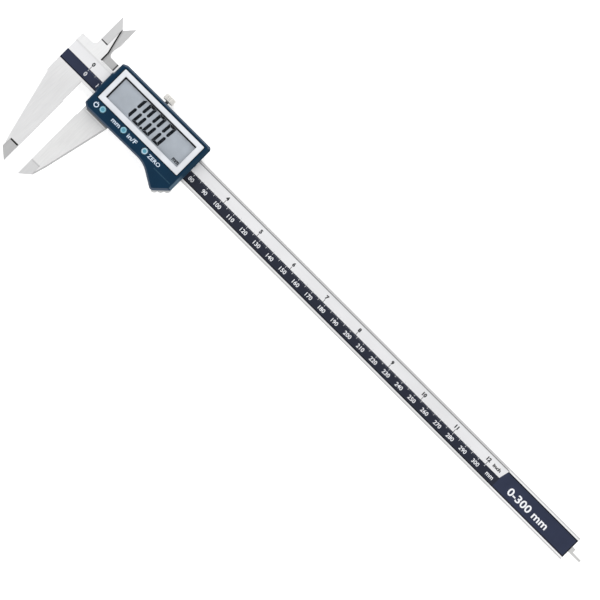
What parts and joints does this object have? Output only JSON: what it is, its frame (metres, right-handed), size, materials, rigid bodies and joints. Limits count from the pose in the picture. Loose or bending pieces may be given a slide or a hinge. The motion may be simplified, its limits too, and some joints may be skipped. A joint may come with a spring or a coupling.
{
  "type": "digital caliper",
  "caption": "Digital caliper for 300 mm, with outside and inside jaws, sliding display housing, lock screw and depth rod.",
  "frame": {"origin": "middle of the bounding box's bottom face at rest, the caliper lying on its back", "axes": "+X along the beam from the jaws to the depth rod's tip, +Y from the outside jaws to the inside jaws, +Z out of the display"},
  "size_m": [0.398, 0.1002, 0.0149],
  "materials": {
    "polished_steel": "satin ground, polished edges",
    "screw_steel": "satin",
    "knob_nickel": "knurled, matt nickel",
    "brass": "satin",
    "navy_plastic": "fine moulded texture",
    "white_plastic": "smooth gloss",
    "clear_window": "clear",
    "liquid_crystal": "reflective grey display",
    "teal_button": "smooth",
    "scale_film": "printed film",
    "circuit_board": "solder resist",
    "chip_resin": "matt resin",
    "rubber": "matt",
    "felt": "felt",
    "cell_steel": "bright"
  },
  "bodies": {
    "beam": {"beam": "polished_steel", "scale_grid": "circuit_board", "scale_label": "scale_film", "end_stop_plate": "polished_steel", "end_stop_screw_1": "screw_steel", "end_stop_screw_2": "screw_steel"},
    "slider": {"slider_frame": "polished_steel", "slider_back_plate": "polished_steel", "depth_rod": "polished_steel", "depth_rod_screw": "screw_steel", "gib_screw_1": "screw_steel", "gib_screw_2": "screw_steel", "housing_screw_1": "screw_steel", "housing_screw_2": "screw_steel", "housing_screw_3": "screw_steel", "housing_screw_4": "screw_steel", "back_plate_screw_1": "screw_steel", "back_plate_screw_2": "screw_steel", "back_plate_screw_3": "screw_steel", "back_plate_screw_4": "screw_steel", "gib_strip": "brass", "battery_contact_negative": "brass", "battery_contact_positive": "brass", "housing_shell": "navy_plastic", "housing_base": "navy_plastic", "display_bezel": "white_plastic", "display_window": "clear_window", "lcd_glass": "liquid_crystal", "main_board": "circuit_board", "reader_board": "circuit_board", "controller_chip": "chip_resin", "zebra_strip_upper": "rubber", "zebra_strip_lower": "rubber", "keypad": "rubber", "wiper_left": "felt", "wiper_right": "felt"},
    "lock_screw": {"lock_screw": "knob_nickel"},
    "battery_drawer": {"battery_tray": "navy_plastic", "button_cell": "cell_steel"},
    "button_power": {"button_power": "teal_button"},
    "button_units": {"button_units": "teal_button"},
    "button_zero": {"button_zero": "teal_button"}
  },
  "joints": [
    {"name": "slider_slide", "type": "slide", "parent": "beam", "child": "slider", "axis": [1, 0, 0], "range_m": [-0.01, 0.29]},
    {"name": "lock_screw_turn", "type": "hinge", "parent": "slider", "child": "lock_screw", "pos_m": [-0.141, 0.0361, 0.004], "axis": [0, 1, 0], "range_deg": [-60, 180]},
    {"name": "battery_drawer_slide", "type": "slide", "parent": "slider", "child": "battery_drawer", "axis": [1, 0, 0], "range_m": [0, 0.016]},
    {"name": "button_power_press", "type": "slide", "parent": "slider", "child": "button_power", "axis": [0, 0, -1], "range_m": [0, 0.0005], "stiffness_N_per_m": 600, "springref_m": -0.0003},
    {"name": "button_units_press", "type": "slide", "parent": "slider", "child": "button_units", "axis": [0, 0, -1], "range_m": [0, 0.0005], "stiffness_N_per_m": 600, "springref_m": -0.0003},
    {"name": "button_zero_press", "type": "slide", "parent": "slider", "child": "button_zero", "axis": [0, 0, -1], "range_m": [0, 0.0005], "stiffness_N_per_m": 600, "springref_m": -0.0003}
  ]
}
